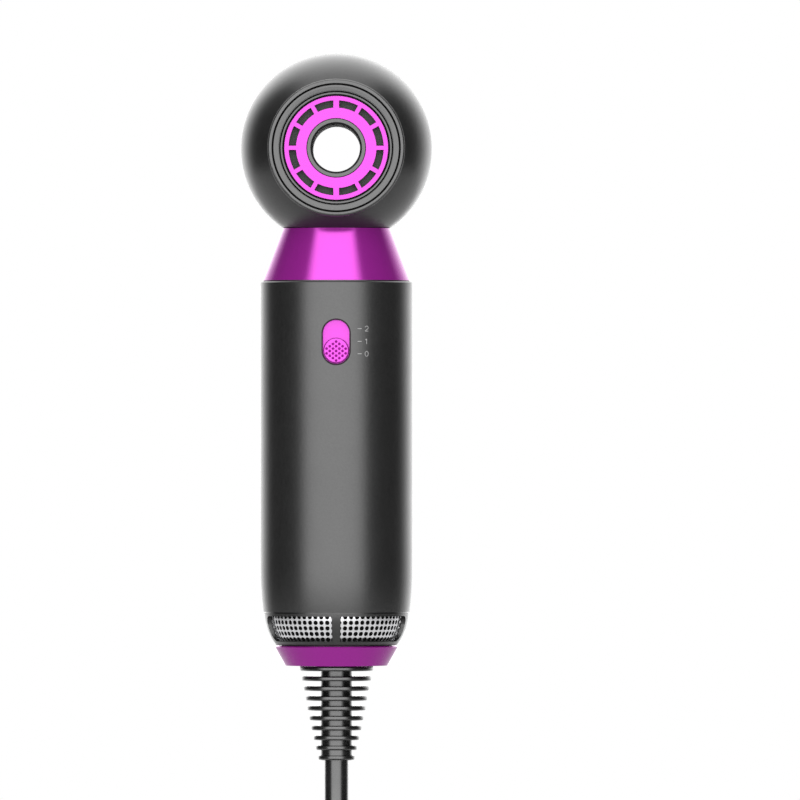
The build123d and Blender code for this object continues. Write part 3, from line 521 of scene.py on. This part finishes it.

# black sleeve inside the screen: painted shade that stands in for the dark inside, so that the
# holes look dark
shadeSleeve = {"gap": 1.0, "steps": 180, "rows": 12, "relief": 0.22, "seed": 7,
        "cellMm": 0.9, "bump": 0.8, "bumpMm": 0.3, "dark": "#020202", "light": "#0a0a0a"}
paintedShadeSleeve, tree, shader = startMaterial("black sleeve of painted shade",
                                       {"Roughness": 0.9, "Specular IOR Level": 0.1})
place, grain = grainBump(tree, shader, shadeSleeve["cellMm"], shadeSleeve["bump"], shadeSleeve["bumpMm"])
speckle(tree, shader, grain, shadeSleeve["dark"], shadeSleeve["light"])


# a bumpy black tube of painted shade just inside the screen
def makeShadeSleeve():
    pick = random.Random(shadeSleeve["seed"])
    vertices, faces = [], []
    rows, steps = shadeSleeve["rows"], shadeSleeve["steps"]
    for row in range(rows + 1):
        z = screen["bottomZ"] + (screen["topZ"] - screen["bottomZ"]) * row / rows
        for step in range(steps):
            turn = 2 * math.pi * step / steps
            r = screenRadius(z) - shadeSleeve["gap"] - shadeSleeve["relief"] * pick.random()
            vertices.append((r * math.cos(turn) * mm, r * math.sin(turn) * mm, z * mm))
    for row in range(rows):
        lower, upper = row * steps, (row + 1) * steps
        for step in range(steps):
            after = (step + 1) % steps
            faces.append((lower + step, lower + after, upper + after, upper + step))
    return meshPiece("paintedShadeSleeve", vertices, faces, paintedShadeSleeve, "housing")


makeShadeSleeve()
print("inlet screen and foam made")


# thumb piece of the switch: rounded edge and a lattice of dimples
thumb = {"radius": 3.8, "edge": 0.45, "centreZ": -60.55, "frontY": -22.9, "backY": -19.68,
         "dimplesInRow": (1, 2, 3, 4, 3, 4, 3, 2, 1), "columnPitch": 0.95, "rowPitch": 0.705,
         "latticeDrop": 0.15, "dimpleR": 0.4, "dimpleDepth": 0.5, "cells": 190}


def dimplePlaces():
    places = []
    middleRow = len(thumb["dimplesInRow"]) // 2
    for row, count in enumerate(thumb["dimplesInRow"]):
        z = (middleRow - row) * thumb["rowPitch"] - thumb["latticeDrop"]
        for k in range(count):
            places.append(((k - (count - 1) / 2) * 2 * thumb["columnPitch"], z))
    return places


def thumbPiece():
    # a square grid pulled round, its front dented by the dimples, closed by a wall and a back
    cells = thumb["cells"]
    places = dimplePlaces()
    vertices, faces = [], []
    flatR = thumb["radius"] - thumb["edge"]
    for i in range(cells + 1):
        for j in range(cells + 1):
            u, v = 2 * i / cells - 1, 2 * j / cells - 1
            x = u * math.sqrt(1 - v * v / 2) * thumb["radius"]
            z = v * math.sqrt(1 - u * u / 2) * thumb["radius"]
            y = thumb["frontY"]
            reach = math.hypot(x, z)
            if reach > flatR:
                over = min(thumb["edge"], reach - flatR)
                y += thumb["edge"] - math.sqrt(max(0.0, thumb["edge"] ** 2 - over ** 2))
            for px, pz in places:
                near = math.hypot(x - px, z - pz) / thumb["dimpleR"]
                if near < 1:
                    y += thumb["dimpleDepth"] * (1 - near)
            vertices.append((x * mm, y * mm, (thumb["centreZ"] + z) * mm))
    row = cells + 1
    for i in range(cells):
        for j in range(cells):
            faces.append((i * row + j, i * row + j + 1, (i + 1) * row + j + 1, (i + 1) * row + j))
    rim = [i * row for i in range(cells)] + [cells * row + j for j in range(cells)]
    rim += [i * row + cells for i in range(cells, 0, -1)] + list(range(cells, 0, -1))
    start = len(vertices)
    for index in rim:
        x, _, z = vertices[index]
        vertices.append((x, thumb["backY"] * mm, z))
    count = len(rim)
    for k in range(count):
        after = (k + 1) % count
        faces.append((rim[k], rim[after], start + after, start + k))
    faces.append(tuple(range(start, start + count)))
    piece = meshPiece("switchThumb", vertices, faces, magentaAluminium, "switch_slider")
    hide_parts("switch_thumb")
    return piece


thumbPiece()
print("switch thumb made")


# hair gauze behind the outlet slots: woven wire, blackened, seen as an even dark grey
gauze = {"innerR": 10.0, "outerR": 15.25, "y": -17.42, "rise": 0.12, "rings": 8, "steps": 120,
         "wirePitch": 0.5, "wireBump": 0.6, "wireMm": 0.1, "dark": "#0a0c0a", "light": "#1c211c"}
gauzeWire, tree, shader = startMaterial("blackened steel gauze",
                                        {"Metallic": 0.3, "Roughness": 0.7})
place = addNode(tree, "ShaderNodeTexCoord")
across = addNode(tree, "ShaderNodeTexWave",
                 {"bands_direction": "X", "Scale": waveScale(gauze["wirePitch"])},
                 {"Vector": place.outputs["Object"]})
upward = addNode(tree, "ShaderNodeTexWave",
                 {"bands_direction": "Z", "Scale": waveScale(gauze["wirePitch"])},
                 {"Vector": place.outputs["Object"]})
woven = addNode(tree, "ShaderNodeMath", {"operation": "MAXIMUM"},
                {0: across.outputs["Fac"], 1: upward.outputs["Fac"]})
wireTone = addNode(tree, "ShaderNodeValToRGB", links={"Fac": woven.outputs[0]})
wireTone.color_ramp.elements[0].color = hexToLinear(gauze["dark"])
wireTone.color_ramp.elements[1].color = hexToLinear(gauze["light"])
tree.links.new(wireTone.outputs["Color"], shader.inputs["Base Color"])
wireBump = addNode(tree, "ShaderNodeBump",
                   {"Strength": gauze["wireBump"], "Distance": gauze["wireMm"] * mm},
                   {"Height": woven.outputs[0]})
tree.links.new(wireBump.outputs["Normal"], shader.inputs["Normal"])


def outletGauze():
    # a shallow dished ring, furthest back halfway across its width
    vertices, faces = [], []
    rings, steps = gauze["rings"], gauze["steps"]
    for ring in range(rings + 1):
        share = ring / rings
        radius = gauze["innerR"] + (gauze["outerR"] - gauze["innerR"]) * share
        y = gauze["y"] + gauze["rise"] * 4 * share * (1 - share)
        for step in range(steps):
            turn = 2 * math.pi * step / steps
            vertices.append((radius * math.cos(turn) * mm, y * mm, radius * math.sin(turn) * mm))
    for ring in range(rings):
        inner, outer = ring * steps, (ring + 1) * steps
        for step in range(steps):
            after = (step + 1) % steps
            faces.append((inner + step, inner + after, outer + after, outer + step))
    return meshPiece("outletGauze", vertices, faces, gauzeWire, "housing")


outletGauze()
print("outlet gauze made")


# level numerals and dashes beside the switch, wrapped on the handle
marks = {"handleR": 22.7, "lift": 0.02, "stroke": 0.2, "height": 1.5, "width": 0.95, "x": 9.1,
         "heights": (-61.5, -57.8, -54.0), "dashX": (6.4, 7.6), "dashSteps": 4,
         "roundSteps": 12, "stemOver": 0.08, "flagReach": 0.8, "flagDrop": 0.5, "footOver": 0.05}


def strokeStrip(points, width):
    # a flat ribbon along the points, bent round the handle
    vertices, faces = [], []
    radius = marks["handleR"] + marks["lift"]
    for i, point in enumerate(points):
        before = Vector(points[max(0, i - 1)])
        after = Vector(points[min(len(points) - 1, i + 1)])
        along = (after - before).normalized()
        across = Vector((-along.y, along.x)) * width / 2
        for side in (-1, 1):
            x, z = point[0] + side * across.x, point[1] + side * across.y
            vertices.append((x * mm, -math.sqrt(radius ** 2 - x * x) * mm, z * mm))
    for i in range(len(points) - 1):
        faces.append((2 * i, 2 * i + 1, 2 * i + 3, 2 * i + 2))
    return vertices, faces


def arcPoints(x, z, wide, high, steps):
    turns = [step * math.pi / marks["roundSteps"] for step in steps]
    return [(x + wide * math.cos(turn), z + high * math.sin(turn)) for turn in turns]


def numeralPaths(numeral, x, z):
    h, w = marks["height"] / 2, marks["width"] / 2
    halfTurn = marks["roundSteps"]
    if numeral == 0:
        return [arcPoints(x, z, w, h, range(2 * halfTurn + 1))]
    if numeral == 1:
        stem = [(x, z - h - marks["stemOver"]), (x, z + h + marks["stemOver"])]
        return [stem, [(x, z + h), (x - w * marks["flagReach"], z + h * marks["flagDrop"])]]
    bow = arcPoints(x, z + h - w, w, w, range(halfTurn - 1, -3, -1))
    return [bow + [(x - w, z - h)], [(x - w - marks["footOver"], z - h), (x + w, z - h)]]


def levelMarks():
    vertices, faces = [], []
    low, high = marks["dashX"]
    for numeral, z in enumerate(marks["heights"]):
        paths = numeralPaths(numeral, marks["x"], z)
        dashSteps = marks["dashSteps"]
        paths.append([(low + (high - low) * k / dashSteps, z) for k in range(dashSteps + 1)])
        for path in paths:
            more, sides = strokeStrip(path, marks["stroke"])
            start = len(vertices)
            vertices += more
            faces += [tuple(start + k for k in face) for face in sides]
    mesh = bpy.data.meshes.new("levelMarks")
    mesh.from_pydata(vertices, [], faces)
    mesh.materials.append(markInk)
    piece = bpy.data.objects.new("levelMarks", mesh)
    bpy.context.collection.objects.link(piece)
    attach(piece, "housing")
    return piece


levelMarks()
print("level numerals made")


# studio: a wide softbox in front, dark flags at its sides, a bright backdrop behind, lamps above
# and below, and a floor under the plug
studio = {"floorSize": 3.0, "floorDrop": 0.002, "floorDark": "#b0b0b0", "floorLight": "#b8b8b8",
          "soft": 5.6, "flag": 0.05, "back": 2.4, "edge": 1.2, "top": 2.3, "under": 0.9,
          "rearTop": 3.1, "softLeftDegrees": 4, "rearTopDegrees": 42}
floorZ = cadBox[0][2] - studio["floorDrop"]
half = studio["floorSize"] / 2
floorMesh = bpy.data.meshes.new("studioFloor")
corners = ((-half, -half), (half, -half), (half, half), (-half, half))
floorMesh.from_pydata([(x, y, floorZ) for x, y in corners], [], [(0, 1, 2, 3)])
studioFloor = bpy.data.objects.new("studioFloor", floorMesh)
bpy.context.collection.objects.link(studioFloor)
# matt paint: mid grey, so that little light comes back up under the head
floorPaint, tree, shader = startMaterial("matt floor paint", {"Roughness": 0.8})
place, grain = grainBump(tree, shader, grainMm=4.0, strength=0.05, depthMm=0.1)
speckle(tree, shader, grain, studio["floorDark"], studio["floorLight"])
studioFloor.data.materials.append(floorPaint)

world = bpy.data.worlds.new("studioWorld")
bpy.context.scene.world = world
world.use_nodes = True
tree = world.node_tree
tree.nodes.clear()
# bearing: 0 in the direction away from the softbox, 1 straight at it, whatever the height
place = addNode(tree, "ShaderNodeTexCoord")
split = addNode(tree, "ShaderNodeSeparateXYZ", links={"Vector": place.outputs["Generated"]})
xSquare = addNode(tree, "ShaderNodeMath", {"operation": "MULTIPLY"},
                  {0: split.outputs["X"], 1: split.outputs["X"]})
level = addNode(tree, "ShaderNodeMath", {"operation": "MULTIPLY_ADD"},
                {0: split.outputs["Y"], 1: split.outputs["Y"], 2: xSquare.outputs[0]})
flatLength = addNode(tree, "ShaderNodeMath", {"operation": "SQRT"}, {0: level.outputs[0]})
# the softbox stands a little left of the camera, so away from it is a little right of the back
softLeft = math.radians(studio["softLeftDegrees"])
softAway = (math.sin(softLeft), math.cos(softLeft), 0.0)
toward = addNode(tree, "ShaderNodeVectorMath", {"operation": "DOT_PRODUCT", 1: softAway},
                 {0: place.outputs["Generated"]})
facing = addNode(tree, "ShaderNodeMath", {"operation": "DIVIDE"},
                 {0: toward.outputs["Value"], 1: flatLength.outputs[0]})
bearing = addNode(tree, "ShaderNodeMapRange", {"From Min": 1.0, "From Max": -1.0},
                  {"Value": facing.outputs[0]})


def bandRamp(source, stops):
    # brightness along one direction, as shares of the softbox's
    ramp = addNode(tree, "ShaderNodeValToRGB", links={"Fac": source})
    elements = ramp.color_ramp.elements
    while len(elements) < len(stops):
        elements.new(0.5)
    for element, (position, share) in zip(elements, stops):
        element.position = position
        element.color = (share, share, share, 1.0)
    return ramp


def bandOver(below, patch, brightness):
    # lays a lamp of this brightness over what is there, where its patch is white
    over = addNode(tree, "ShaderNodeMix", {"data_type": "FLOAT"},
                   {"Factor": patch.outputs["Color"], "A": below})
    over.inputs["B"].default_value = brightness / studio["soft"]
    return over.outputs["Result"]


back, edge, flag = (studio[key] / studio["soft"] for key in ("back", "edge", "flag"))
around = bandRamp(bearing.outputs[0], [(0.0, back), (0.07, back), (0.16, edge), (0.25, flag),
                                       (0.80, flag), (0.89, 1.0), (1.0, 1.0)])
height = addNode(tree, "ShaderNodeMapRange", {"From Min": -1.0, "From Max": 1.0},
                 {"Value": split.outputs["Z"]})
topPatch = bandRamp(height.outputs[0], [(0.0, 0.0), (0.88, 0.0), (0.96, 1.0), (1.0, 1.0)])
underPatch = bandRamp(height.outputs[0], [(0.0, 1.0), (0.14, 1.0), (0.22, 0.0), (1.0, 0.0)])
# a broad lamp above and behind, which edges the top of the head
rearTop = math.radians(studio["rearTopDegrees"])
rearAim = (0.0, math.cos(rearTop), math.sin(rearTop))
toRear = addNode(tree, "ShaderNodeVectorMath", {"operation": "DOT_PRODUCT", 1: rearAim},
                 {0: place.outputs["Generated"]})
rearPatch = bandRamp(toRear.outputs["Value"], [(0.0, 0.0), (0.76, 0.0), (0.93, 1.0), (1.0, 1.0)])
withTop = bandOver(around.outputs["Color"], topPatch, studio["top"])
withRear = bandOver(withTop, rearPatch, studio["rearTop"])
withUnder = bandOver(withRear, underPatch, studio["under"])
lit = addNode(tree, "ShaderNodeBackground", {"Strength": studio["soft"]}, {"Color": withUnder})
# the camera itself sees plain white
plain = addNode(tree, "ShaderNodeBackground", {"Color": (1.0, 1.0, 1.0, 1.0), "Strength": 1.0})
ray = addNode(tree, "ShaderNodeLightPath")
choice = addNode(tree, "ShaderNodeMixShader",
                 links={0: ray.outputs["Is Camera Ray"], 1: lit.outputs[0], 2: plain.outputs[0]})
addNode(tree, "ShaderNodeOutputWorld", links={"Surface": choice.outputs[0]})
bpy.context.scene.view_settings.view_transform = "Standard"
print("studio lit")
